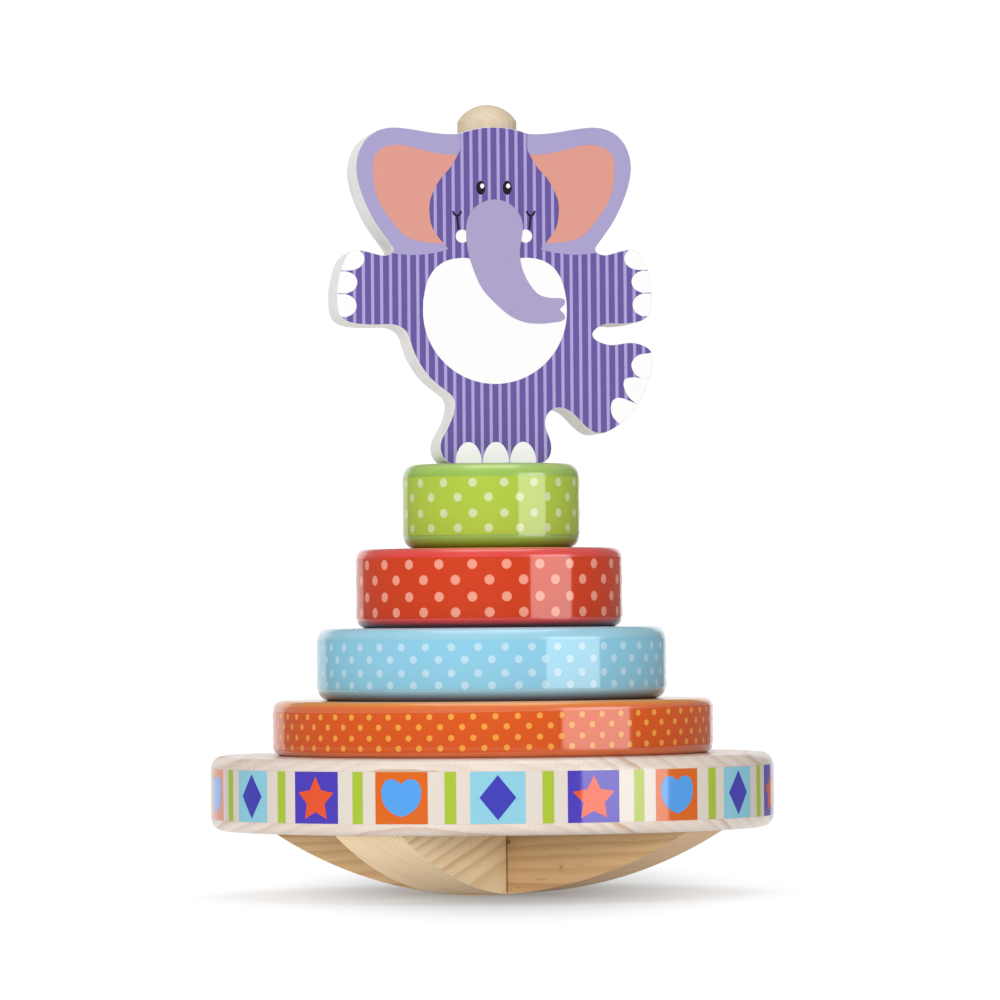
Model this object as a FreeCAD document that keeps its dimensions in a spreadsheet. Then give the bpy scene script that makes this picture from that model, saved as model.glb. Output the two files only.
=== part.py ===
"""Rocking stacker: four painted rings and a flat elephant on a post, on a disc with curved rockers.

Everything is in millimetres, +Z up. The origin is on the floor, under the post's axis, and the
elephant faces -Y. The driving sizes are in the sheet named Dimensions, one alias each. A piece
that fits, seats on or passes through another takes its size and place from the same aliases.
"""
import FreeCAD, Part
import math
import os

from FreeCAD import Vector
import Sketcher

DIMENSIONS = (
    # rocker
    ("rocker_height", 22.3, "floor to the underside of the disc"),
    ("board_inset", 14, "end of a rocker board in from the disc's wall"),
    ("board_end", 0.7, "height left at a rocker board's end"),
    ("board_thickness", 25.4, "thickness of a rocker board"),
    ("board_turn", -30, "angle of the long board from +X"),
    ("joint_gap", 0.1, "glue gap in the halving joint, on each side"),
    ("dowel_diameter", 8, "hidden dowel between a board and the disc"),
    ("dowel_depth", 10, "how far a dowel goes into each side"),
    ("dowel_offset", 44, "dowel axis from the post's axis"),
    ("glue_gap", 0.05, "gap round a glued dowel or post"),
    # disc
    ("base_diameter", 190, "disc over its printed film"),
    ("base_thickness", 25, "thickness of the disc"),
    ("base_edge", 3.9, "rounding of the disc's edges"),
    ("base_band", 17.1, "height of the film round the disc"),
    ("film", 0.2, "thickness of every printed film"),
    # post
    ("post_diameter", 20, "diameter of the post"),
    ("post_socket", 16, "depth of the post's socket in the disc"),
    ("post_proud", 8.3, "how far the post stands above the elephant"),
    ("post_dome", 5.7, "height of the post's domed end"),
    # rings, from the lowest up
    ("orange_diameter", 148.6, "ring over its film"),
    ("orange_thickness", 18.4, "thickness of the ring"),
    ("orange_edge", 2.7, "rounding of the ring's edges"),
    ("orange_band", 13, "height of the film"),
    ("orange_drift", 0.4, "how far the ring rests off centre, as a share of its play"),
    ("blue_diameter", 118, "ring over its film"),
    ("blue_thickness", 24.3, "thickness of the ring"),
    ("blue_edge", 4, "rounding of the ring's edges"),
    ("blue_band", 16.2, "height of the film"),
    ("blue_drift", 0.1, "how far the ring rests off centre, as a share of its play"),
    ("red_diameter", 89.9, "ring over its film"),
    ("red_thickness", 26.6, "thickness of the ring"),
    ("red_edge", 3.1, "rounding of the ring's edges"),
    ("red_band", 20.2, "height of the film"),
    ("red_drift", -0.5, "how far the ring rests off centre, as a share of its play"),
    ("green_diameter", 59.8, "ring over its film"),
    ("green_thickness", 28.5, "thickness of the ring"),
    ("green_edge", 4.2, "rounding of the ring's edges"),
    ("green_band", 19.6, "height of the film"),
    ("green_drift", 0.4, "how far the ring rests off centre, as a share of its play"),
    ("ring_play", 1, "radial play between a ring's bore and the post"),
    ("bore_edge", 0.8, "rounding where a ring's bore meets its flat faces"),
    # elephant
    ("figure_height", 113.2, "elephant from its sole to the top of its head"),
    ("figure_wall", 2.75, "wood left in front of and behind the elephant's bore"),
    ("figure_edge", 0.5, "rounding of the block's outline, which the films leave bare"),
    ("figure_play", 0.75, "radial play between the elephant's bore and the post"),
    ("figure_drift", 0.6, "how far the elephant rests off centre, as a share of its play"),
    ("figure_turn", 7.5, "turn of the elephant about the post"),
)

RINGS = ("orange", "blue", "red", "green")

# The elephant's outline, in hundredths of its height: x to the right of the bore's axis as seen
# from the front, z up from the sole. Both sides share the ear, the neck and the hand.
CROWN = [(-10.1, 98.1), (0, 100), (10.1, 98.1)]
EAR = [
    (10.1, 98.1), (14.1, 98.0), (20.3, 98.7), (27.4, 99.8), (32.9, 99.6), (37.5, 97.2),
    (40.4, 92.8), (41.3, 87.9), (40.5, 82.6), (38.4, 76.7), (34.9, 70.2), (31.1, 65.0),
]
NECK = [(30.4, 63.3)]
HAND = [
    (31.6, 62.2), (36.0, 62.5), (39.8, 63.4), (42.4, 63.3), (44.7, 61.1), (46.2, 57.3),
    (47.2, 52.0), (47.2, 47.3), (46.4, 44.1), (44.7, 42.5), (41.3, 41.5),
]
RIGHT_FOREARM = [(37.0, 41.2), (33.0, 41.1)]
KNEE_HOLLOW = [(29.3, 38.2)]
RAISED_LEG = [
    (34.3, 35.2), (39.3, 35.7), (44.1, 35.1), (46.9, 33.1), (47.2, 28.4), (45.0, 21.3),
    (41.0, 14.8), (36.0, 10.5), (30.8, 8.7), (26.9, 10.7), (22.0, 15.4),
]
CROTCH = [(18.4, 16.3)]
RIGHT_SHIN = [(15.7, 14.6), (14.9, 11.4), (16.3, 7.0), (16.5, 2.9), (13.7, 0)]
LEFT_SHIN = [(-13.7, 0), (-16.6, 3.4), (-16.5, 6.8), (-15.1, 9.6), (-13.3, 13.3), (-12.6, 15.6)]
LEFT_HIP = [(-12.6, 19.0), (-14.8, 21.4)]
LEFT_FLANK = [
    (-18.5, 24.3), (-22.8, 29.8), (-25.2, 35.3), (-26.8, 39.3), (-29.3, 40.9), (-34.9, 41.2),
]


def mirrored(points):
    """A stretch of outline on the other side, still in the order that it is walked."""
    return [(-x, z) for x, z in reversed(points)]


# The outline in walking order, clockwise from the crown: each list is one smooth curve.
OUTLINE = (
    CROWN,
    EAR + NECK + HAND + RIGHT_FOREARM + KNEE_HOLLOW + RAISED_LEG + CROTCH + RIGHT_SHIN,
    [RIGHT_SHIN[-1], LEFT_SHIN[0]],
    LEFT_SHIN + LEFT_HIP + LEFT_FLANK + mirrored(EAR + NECK + HAND),
)


def sheet_of(document):
    """Fill the sheet of driving sizes."""
    sheet = document.addObject("Spreadsheet::Sheet", "Dimensions")
    for row, (alias, value, meaning) in enumerate(DIMENSIONS, start=1):
        sheet.set(f"A{row}", meaning)
        sheet.set(f"B{row}", str(value))
        sheet.setAlias(f"B{row}", alias)
    document.recompute()
    return sheet


def size(name):
    """The expression that reads one driving size."""
    return f"Dimensions.{name}"


def total(*names):
    """The expression that adds up driving sizes."""
    return " + ".join(size(name) for name in names)


def under_ring(colour=None):
    """The heights that lie under a ring, or under the elephant when no ring is named."""
    rings = RINGS[: RINGS.index(colour)] if colour else RINGS
    return ["rocker_height", "base_thickness"] + [f"{ring}_thickness" for ring in rings]


# ---- small modelling steps shared by the pieces


def new_body(document, label):
    body = document.addObject("PartDesign::Body", label)
    body.Label = label
    return body


def origin_feature(body, role):
    return next(item for item in body.Origin.OriginFeatures if item.Role == role)


def new_sketch(body, plane, name, height=None):
    """A sketch on an origin plane of its body, raised by an expression if one is given."""
    sketch = body.newObject("Sketcher::SketchObject", f"{body.Label}_{name}")
    sketch.AttachmentSupport = (origin_feature(body, plane), [""])
    sketch.MapMode = "FlatFace"
    if height:
        sketch.setExpression("AttachmentOffset.Base.z", height)
    return sketch


def constrain(sketch, *constraints):
    """Add geometric constraints, each a tuple of Sketcher's own arguments."""
    for constraint in constraints:
        sketch.addConstraint(Sketcher.Constraint(*constraint))


def bind(sketch, name, expression, *constraint):
    """Add a driving constraint and tie it to the sheet. Its last argument is a first guess."""
    index = sketch.addConstraint(Sketcher.Constraint(*constraint))
    sketch.renameConstraint(index, name)
    sketch.setExpression(f"Constraints.{name}", expression)


def add_line(sketch, start, end):
    return sketch.addGeometry(Part.LineSegment(start, end))


def add_circle(sketch, radius, centre=Vector(0, 0, 0)):
    return sketch.addGeometry(Part.Circle(centre, Vector(0, 0, 1), radius))


def centred_circle(sketch, name, radius_expression, first_guess):
    """A circle round the sketch's origin whose radius follows the sheet."""
    circle = add_circle(sketch, first_guess)
    constrain(sketch, ("Coincident", circle, 3, -1, 1))
    bind(sketch, name, radius_expression, "Radius", circle, first_guess)


def pad(body, sketch, length_expression, midplane=False):
    feature = body.newObject("PartDesign::Pad", f"{body.Label}_pad")
    feature.Profile = sketch
    feature.setExpression("Length", length_expression)
    feature.Midplane = midplane
    body.Document.recompute()
    return feature


def pocket(body, sketch, name, depth_expression=None, upwards=False):
    """Cut a sketch into the body: down or up to a depth, or right through when none is given."""
    before = body.Shape.Volume
    feature = body.newObject("PartDesign::Pocket", f"{body.Label}_{name}")
    feature.Profile = sketch
    feature.Reversed = upwards
    if depth_expression:
        feature.setExpression("Length", depth_expression)
    else:
        feature.Type = "ThroughAll"
        feature.Midplane = True
    body.Document.recompute()
    if body.Shape.Volume >= before:
        raise RuntimeError(f"{feature.Label} cuts nothing")
    return feature


def round_edges(body, name, radius_expression, wanted):
    """Fillet every edge of the body's tip that wanted(edge) accepts."""
    tip = body.Tip
    picked = [f"Edge{i}" for i, edge in enumerate(tip.Shape.Edges, start=1) if wanted(edge)]
    if not picked:
        raise RuntimeError(f"{body.Label} has no edge to round for {name}")
    feature = body.newObject("PartDesign::Fillet", f"{body.Label}_{name}")
    feature.Base = (tip, picked)
    feature.setExpression("Radius", radius_expression)
    body.Document.recompute()


def circle_of(radius):
    """A test that accepts circular edges of this radius."""
    def wanted(edge):
        return isinstance(edge.Curve, Part.Circle) and abs(edge.Curve.Radius - radius) < 1e-6
    return wanted


def wall_rounding(piece):
    """The rounding of a disc's or ring's edges, which leaves the film's strip of wall straight."""
    spare = f"({size(piece + '_thickness')} - {size(piece + '_band')}) / 2"
    return f"min({size(piece + '_edge')}; {spare})"


def make_film(document, piece, level):
    """The printed film round the middle of a disc's or ring's wall, which starts at this level."""
    film = new_body(document, f"{piece}_band")
    section = new_sketch(film, "XY_Plane", "section")
    outside = f"{size(piece + '_diameter')} / 2"
    centred_circle(section, "outer", outside, 60)
    centred_circle(section, "inner", f"{outside} - {size('film')}", 50)
    pad(film, section, size(f"{piece}_band"))
    middle = f"({size(piece + '_thickness')} - {size(piece + '_band')}) / 2"
    film.setExpression("Placement.Base.z", f"{level} + {middle}")
    return film


# ---- the pieces


def make_board(document, sheet, label, notched_above, turn):
    """A rocker board: flat top, rocking edge below, and half notched where the other crosses."""
    body = new_body(document, label)
    height, end = sheet.get("rocker_height"), sheet.get("board_end")
    half = sheet.get("base_diameter") / 2 - sheet.get("board_inset")
    rise = height - end

    profile = new_sketch(body, "XZ_Plane", "profile")
    top = add_line(profile, Vector(-half, height, 0), Vector(half, height, 0))
    right = add_line(profile, Vector(half, height, 0), Vector(half, rise, 0))
    left = add_line(profile, Vector(-half, rise, 0), Vector(-half, height, 0))
    low_ends = Vector(-half, rise, 0), Vector(half, rise, 0)
    edge = profile.addGeometry(Part.Arc(low_ends[0], Vector(0, 0, 0), low_ends[1]))
    starts_left = profile.getPoint(edge, 1).x < 0
    edge_left, edge_right = (1, 2) if starts_left else (2, 1)
    constrain(
        profile,
        ("Coincident", top, 2, right, 1),
        ("Coincident", right, 2, edge, edge_right),
        ("Coincident", edge, edge_left, left, 1),
        ("Coincident", left, 2, top, 1),
        ("Vertical", left),
        ("Vertical", right),
        ("Symmetric", top, 1, top, 2, -2),
        ("PointOnObject", edge, 3, -2),
        ("PointOnObject", -1, 1, edge),
    )
    length = f"{size('base_diameter')} - 2 * {size('board_inset')}"
    bind(profile, "length", length, "DistanceX", top, 1, top, 2, 2 * half)
    bind(profile, "height", size("rocker_height"), "DistanceY", -1, 1, top, 2, height)
    bind(profile, "end", size("board_end"), "DistanceY", right, 2, right, 1, end)
    pad(body, profile, size("board_thickness"), midplane=True)

    top_level = size("rocker_height")
    notch = new_sketch(body, "XY_Plane", "notch_section", top_level if notched_above else None)
    thickness = sheet.get("board_thickness")
    corners = [
        Vector(x * thickness / 2, y * thickness, 0) for x, y in ((-1, -1), (1, -1), (1, 1), (-1, 1))
    ]
    sides = [add_line(notch, corners[i], corners[(i + 1) % 4]) for i in range(4)]
    for i, side in enumerate(sides):
        constrain(
            notch,
            ("Coincident", side, 2, sides[(i + 1) % 4], 1),
            ("Vertical" if i % 2 else "Horizontal", side),
        )
    constrain(notch, ("Symmetric", sides[0], 1, sides[1], 2, -1, 1))
    width = f"{size('board_thickness')} + 2 * {size('joint_gap')}"
    bind(notch, "width", width, "DistanceX", sides[0], 1, sides[0], 2, thickness)
    through = f"2 * {size('board_thickness')}"
    bind(notch, "through", through, "DistanceY", sides[1], 1, sides[1], 2, 2 * thickness)
    depth = f"({size('rocker_height')} + {size('joint_gap')}) / 2"
    pocket(body, notch, "notch", depth, upwards=not notched_above)

    holes = new_sketch(body, "XY_Plane", "dowel_section", top_level)
    offset, radius = sheet.get("dowel_offset"), sheet.get("dowel_diameter") / 2
    right_hole = add_circle(holes, radius, Vector(offset, 0, 0))
    left_hole = add_circle(holes, radius, Vector(-offset, 0, 0))
    constrain(
        holes,
        ("PointOnObject", right_hole, 3, -1),
        ("Symmetric", right_hole, 3, left_hole, 3, -1, 1),
        ("Equal", right_hole, left_hole),
    )
    bind(holes, "offset", size("dowel_offset"), "DistanceX", -1, 1, right_hole, 3, offset)
    bind(holes, "radius", DOWEL_HOLE_RADIUS, "Radius", right_hole, radius)
    pocket(body, holes, "dowel_holes", DOWEL_HOLE_DEPTH)
    body.setExpression("Placement.Rotation.Angle", turn)
    return body


DOWEL_HOLE_RADIUS = f"{size('dowel_diameter')} / 2 + {size('glue_gap')}"
DOWEL_HOLE_DEPTH = total("dowel_depth", "glue_gap")


def make_rocker(document, sheet):
    """Two crossed boards, and the four dowels that hold them under the disc."""
    turn = f"{size('board_turn')} * 1 deg"
    pieces = [
        make_board(document, sheet, "rocker_board_long", True, turn),
        make_board(document, sheet, "rocker_board_cross", False, f"{turn} - 90 deg"),
    ]
    for number in range(4):
        dowel = document.addObject("Part::Cylinder", f"rocker_dowel_{number + 1}")
        dowel.Label = f"rocker_dowel_{number + 1}"
        dowel.setExpression("Radius", f"{size('dowel_diameter')} / 2")
        dowel.setExpression("Height", f"2 * {size('dowel_depth')}")
        angle = f"({turn} + {90 * number} deg)"
        dowel.setExpression("Placement.Base.x", f"{size('dowel_offset')} * cos{angle}")
        dowel.setExpression("Placement.Base.y", f"{size('dowel_offset')} * sin{angle}")
        dowel.setExpression("Placement.Base.z", f"{size('rocker_height')} - {size('dowel_depth')}")
        pieces.append(dowel)
    return pieces


def make_base(document, sheet):
    """The disc that carries the stack, with sockets for the post and the dowels, and its film."""
    disc = new_body(document, "base_disc")
    section = new_sketch(disc, "XY_Plane", "section")
    centred_circle(section, "wall", f"{size('base_diameter')} / 2 - {size('film')}", 90)
    pad(disc, section, size("base_thickness"))
    wall = sheet.get("base_diameter") / 2 - sheet.get("film")
    round_edges(disc, "edges", wall_rounding("base"), circle_of(wall))

    socket = new_sketch(disc, "XY_Plane", "socket_section", size("base_thickness"))
    centred_circle(socket, "socket", f"{size('post_diameter')} / 2 + {size('glue_gap')}", 10)
    pocket(disc, socket, "post_socket", size("post_socket"))

    hole = new_sketch(disc, "XY_Plane", "dowel_section")
    offset, radius = sheet.get("dowel_offset"), sheet.get("dowel_diameter") / 2
    circle = add_circle(hole, radius, Vector(offset, 0, 0))
    constrain(hole, ("PointOnObject", circle, 3, -1))
    bind(hole, "offset", size("dowel_offset"), "DistanceX", -1, 1, circle, 3, offset)
    bind(hole, "radius", DOWEL_HOLE_RADIUS, "Radius", circle, radius)
    first_hole = pocket(disc, hole, "dowel_hole", DOWEL_HOLE_DEPTH, upwards=True)
    pattern = disc.newObject("PartDesign::PolarPattern", "base_disc_dowel_holes")
    pattern.Originals = [first_hole]
    pattern.Axis = (origin_feature(disc, "Z_Axis"), [""])
    pattern.Angle = 360
    pattern.Occurrences = 4
    disc.Tip = pattern

    disc.setExpression("Placement.Base.z", size("rocker_height"))
    disc.setExpression("Placement.Rotation.Angle", f"{size('board_turn')} * 1 deg")
    return [disc, make_film(document, "base", size("rocker_height"))]


def make_post(document, sheet):
    """The turned post, glued into the disc and domed at its free end."""
    body = new_body(document, "centre_post")
    radius, dome = sheet.get("post_diameter") / 2, sheet.get("post_dome")
    shoulder, tip = Vector(radius, 200, 0), Vector(0, 200 + dome, 0)
    ball = (radius**2 + dome**2) / (2 * dome)
    lean = math.asin(radius / ball) / 2
    on_dome = Vector(ball * math.sin(lean), tip.y - ball + ball * math.cos(lean), 0)

    half = new_sketch(body, "XZ_Plane", "half_section")
    foot = add_line(half, Vector(0, 0, 0), Vector(radius, 0, 0))
    wall = add_line(half, Vector(radius, 0, 0), shoulder)
    cap = half.addGeometry(Part.Arc(shoulder, on_dome, tip))
    axis = add_line(half, tip, Vector(0, 0, 0))
    starts_low = half.getPoint(cap, 1).y < half.getPoint(cap, 2).y
    cap_low, cap_high = (1, 2) if starts_low else (2, 1)
    constrain(
        half,
        ("Coincident", foot, 1, -1, 1),
        ("Horizontal", foot),
        ("Coincident", foot, 2, wall, 1),
        ("Vertical", wall),
        ("Coincident", wall, 2, cap, cap_low),
        ("Coincident", cap, cap_high, axis, 1),
        ("Coincident", axis, 2, foot, 1),
        ("Vertical", axis),
        ("PointOnObject", cap, 3, -2),
    )
    radius_size = f"{size('post_diameter')} / 2"
    bind(half, "radius", radius_size, "DistanceX", foot, 1, foot, 2, radius)
    bind(half, "dome", size("post_dome"), "DistanceY", wall, 2, axis, 1, dome)
    rings = [f"{ring}_thickness" for ring in RINGS]
    length = total("post_socket", *rings, "figure_height", "post_proud")
    bind(half, "length", length, "DistanceY", axis, 2, axis, 1, tip.y)

    turning = body.newObject("PartDesign::Revolution", "centre_post_turning")
    turning.Profile = half
    turning.ReferenceAxis = (half, ["V_Axis"])
    turning.Angle = 360
    socket_floor = f"{total('rocker_height', 'base_thickness')} - {size('post_socket')}"
    body.setExpression("Placement.Base.z", f"{socket_floor} + {size('glue_gap')}")
    return [body]


def make_ring(document, sheet, colour):
    """A painted ring, and the printed film round its wall. They rest a little off centre."""
    ring = new_body(document, f"{colour}_ring")
    section = new_sketch(ring, "XY_Plane", "section")
    wall = sheet.get(f"{colour}_diameter") / 2 - sheet.get("film")
    bore = sheet.get("post_diameter") / 2 + sheet.get("ring_play")
    wall_size = f"{size(colour + '_diameter')} / 2 - {size('film')}"
    centred_circle(section, "wall", wall_size, wall)
    centred_circle(section, "bore", f"{size('post_diameter')} / 2 + {size('ring_play')}", bore)
    pad(ring, section, size(f"{colour}_thickness"))
    round_edges(ring, "edges", wall_rounding(colour), circle_of(wall))
    round_edges(ring, "bore_edges", size("bore_edge"), circle_of(bore))

    level = total(*under_ring(colour))
    ring.setExpression("Placement.Base.z", level)
    film = make_film(document, colour, level)
    for piece in (ring, film):
        drift = f"{size(colour + '_drift')} * {size('ring_play')}"
        piece.setExpression("Placement.Base.x", drift)
    return [ring, film]


def outline_curve(points, height):
    """The line, arc or smooth spline through a stretch of the elephant's outline."""
    places = [Vector(x * height / 100, z * height / 100, 0) for x, z in points]
    if len(places) == 2:
        return Part.LineSegment(*places)
    if len(places) == 3:
        return Part.Arc(*places)
    spline = Part.BSplineCurve()
    spline.interpolate(places)
    return spline


def flat_face(shape, side):
    """The flat front (side -1) or back (side 1) of the elephant's block."""
    flats = [face for face in shape.Faces if isinstance(face.Surface, Part.Plane)]
    return max(flats, key=lambda face: side * face.CenterOfMass.y)


def make_elephant(document, sheet):
    """The sawn and drilled elephant, and the printed films on its flat front and back."""
    block = new_body(document, "elephant_block")
    outline = new_sketch(block, "XZ_Plane", "outline")
    for points in OUTLINE:
        outline.addGeometry(outline_curve(points, sheet.get("figure_height")))
    bore_diameter = f"{size('post_diameter')} + 2 * {size('figure_play')}"
    pad(block, outline, f"{bore_diameter} + 2 * {size('figure_wall')}", midplane=True)
    bore = new_sketch(block, "XY_Plane", "bore_section")
    centred_circle(bore, "bore", f"({bore_diameter}) / 2", 10)
    pocket(block, bore, "bore")

    bore_radius = sheet.get("post_diameter") / 2 + sheet.get("figure_play")
    front = bore_radius + sheet.get("figure_wall")

    def on_front_or_back(edge):
        return all(abs(abs(corner.Point.y) - front) < 1e-6 for corner in edge.Vertexes)

    round_edges(block, "outline_edges", size("figure_edge"), on_front_or_back)

    pieces = [block]
    for side, label in ((-1, "elephant_front_print"), (1, "elephant_back_print")):
        film = document.addObject("Part::Feature", label)
        film.Label = label
        depth = Vector(0, side * sheet.get("film"), 0)
        film.Shape = flat_face(block.Tip.Shape, side).extrude(depth)
        pieces.append(film)
    for piece in pieces:
        piece.setExpression("Placement.Base.x", f"{size('figure_drift')} * {size('figure_play')}")
        piece.setExpression("Placement.Base.z", total(*under_ring()))
        piece.setExpression("Placement.Rotation.Angle", f"{size('figure_turn')} * 1 deg")
    return pieces


def check(document, pieces):
    """Stop on any failed feature, and on any piece that isn't one valid solid."""
    for item in document.Objects:
        if "Invalid" in item.State or "Error" in item.State:
            raise RuntimeError(f"{item.Label} failed: {item.State}")
    for piece in pieces:
        shape = piece.Shape
        if shape.isNull() or not shape.isValid() or len(shape.Solids) != 1:
            raise RuntimeError(f"{piece.Label} isn't one valid solid")


def main():
    document = FreeCAD.newDocument("rocking_stacker")
    sheet = sheet_of(document)
    pieces = make_rocker(document, sheet) + make_base(document, sheet) + make_post(document, sheet)
    for colour in RINGS:
        pieces += make_ring(document, sheet, colour)
    pieces += make_elephant(document, sheet)
    document.recompute()
    check(document, pieces)
    os.makedirs("parts", exist_ok=True)
    for piece in pieces:
        piece.Shape.exportStep(f"parts/{piece.Label}.step")
        print(f"{piece.Label}: {piece.Shape.Volume / 1000:.2f} cm3")


main()
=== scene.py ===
"""Looks of the rocking stacker: its wood, paint and printed film, and the studio it stands in.

Lengths are in millimetres until a mesh is finished, which turns them to metres. Angles round the
post start at the front, where -Y is, and grow to the right as seen from there.
"""
import logging
import math
from dataclasses import dataclass, field
from enum import Enum
from typing import Dict, List, Optional, Sequence, Tuple, Union

import bmesh
import bpy
from mathutils import Matrix, Vector


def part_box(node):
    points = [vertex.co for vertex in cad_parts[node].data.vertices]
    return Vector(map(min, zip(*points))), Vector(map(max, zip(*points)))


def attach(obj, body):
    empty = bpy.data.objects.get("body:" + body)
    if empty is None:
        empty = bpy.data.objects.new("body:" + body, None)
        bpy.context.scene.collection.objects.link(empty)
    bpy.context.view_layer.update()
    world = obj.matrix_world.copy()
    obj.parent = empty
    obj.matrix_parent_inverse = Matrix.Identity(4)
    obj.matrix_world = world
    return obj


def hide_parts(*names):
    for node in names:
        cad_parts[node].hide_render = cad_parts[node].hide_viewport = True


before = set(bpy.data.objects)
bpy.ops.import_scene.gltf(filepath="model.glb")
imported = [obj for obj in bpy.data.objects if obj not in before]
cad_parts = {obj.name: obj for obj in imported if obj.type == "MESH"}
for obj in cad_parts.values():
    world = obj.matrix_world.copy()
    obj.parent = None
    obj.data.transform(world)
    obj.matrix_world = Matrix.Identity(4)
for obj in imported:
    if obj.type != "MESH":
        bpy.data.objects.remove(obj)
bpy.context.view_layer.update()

MM = 0.001  # metres in a millimetre
STUDIO_GAIN = 1.3  # how much brighter than its own colour a surface shows
# SHADE_GAIN makes the rocker boards' wood lighter than the disc's: painted light that makes up for
# the shade under the disc.
SHADE_GAIN = 0.95  # the same, under the disc
INK = 0.04  # thickness of one layer of ink
CREASE = math.radians(35)  # faces that meet at a sharper angle show an edge
ZERO = (0.0, 0.0, 0.0)
LOG = logging.getLogger("rocking_stacker")

Point = Tuple[float, float]
Outline = List[Point]
Rgb = Tuple[int, int, int]
Rgba = Tuple[float, float, float, float]
Triple = Tuple[float, float, float]


class Body(Enum):
    """The bodies that a piece can ride on."""

    BASE = "base"
    ORANGE = "orange_ring"
    BLUE = "blue_ring"
    RED = "red_ring"
    GREEN = "green_ring"
    ELEPHANT = "elephant"


class Side(Enum):
    """The flat sides of the elephant, as the sign of their Y."""

    FRONT = -1
    BACK = 1


class Shine(Enum):
    """What a light does, as (lights the surfaces, shows as a reflection)."""

    BOTH = (True, True)
    LIGHT = (True, False)
    REFLECTION = (False, True)


class Motif(Enum):
    """The pictures that take turns round the disc."""

    DIAMOND = 0
    STAR = 1
    HEART = 2


# ---- colour and shader tools


def linear(shown: Rgb, gain: float = STUDIO_GAIN) -> Rgba:
    """The surface colour that shows as this 8-bit colour in the studio.

    Args:
        shown: red, green and blue from 0 to 255.
        gain: how much brighter than its own colour a surface shows.

    Returns:
        Red, green, blue and alpha for a shader socket.
    """
    parts = []
    for value in shown:
        part = value / 255
        part = part / 12.92 if part <= 0.04045 else ((part + 0.055) / 1.055) ** 2.4
        parts.append(part / gain)
    return (*parts, 1.0)


def toned(colour: Rgba, share: float, lift: float = 0.0) -> Rgba:
    """A share of a colour, with the same amount of light added to each part."""
    return tuple(lift + share * value for value in colour[:3]) + (1.0,)


class Wire:
    """One shader socket, with arithmetic that adds Math nodes."""

    def __init__(self, recipe: "Recipe", socket: bpy.types.NodeSocket) -> None:
        """Keep the socket and the recipe it belongs to."""
        self.recipe = recipe
        self.socket = socket

    def math(self, operation: str, *others: "Number") -> "Wire":
        """This socket and up to two others through one Math node."""
        return self.recipe.maths(operation, self, *others)

    def __add__(self, other: "Number") -> "Wire":
        """The sum."""
        return self.math("ADD", other)

    def __radd__(self, other: "Number") -> "Wire":
        """The sum, written the other way round."""
        return self.math("ADD", other)

    def __sub__(self, other: "Number") -> "Wire":
        """The difference."""
        return self.math("SUBTRACT", other)

    def __rsub__(self, other: "Number") -> "Wire":
        """The difference, written the other way round."""
        return self.recipe.maths("SUBTRACT", other, self)

    def __mul__(self, other: "Number") -> "Wire":
        """The product."""
        return self.math("MULTIPLY", other)

    def __rmul__(self, other: "Number") -> "Wire":
        """The product, written the other way round."""
        return self.math("MULTIPLY", other)

    def __truediv__(self, other: "Number") -> "Wire":
        """The quotient."""
        return self.math("DIVIDE", other)

    def __pow__(self, other: "Number") -> "Wire":
        """The power."""
        return self.math("POWER", other)


Number = Union[float, Wire]


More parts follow.
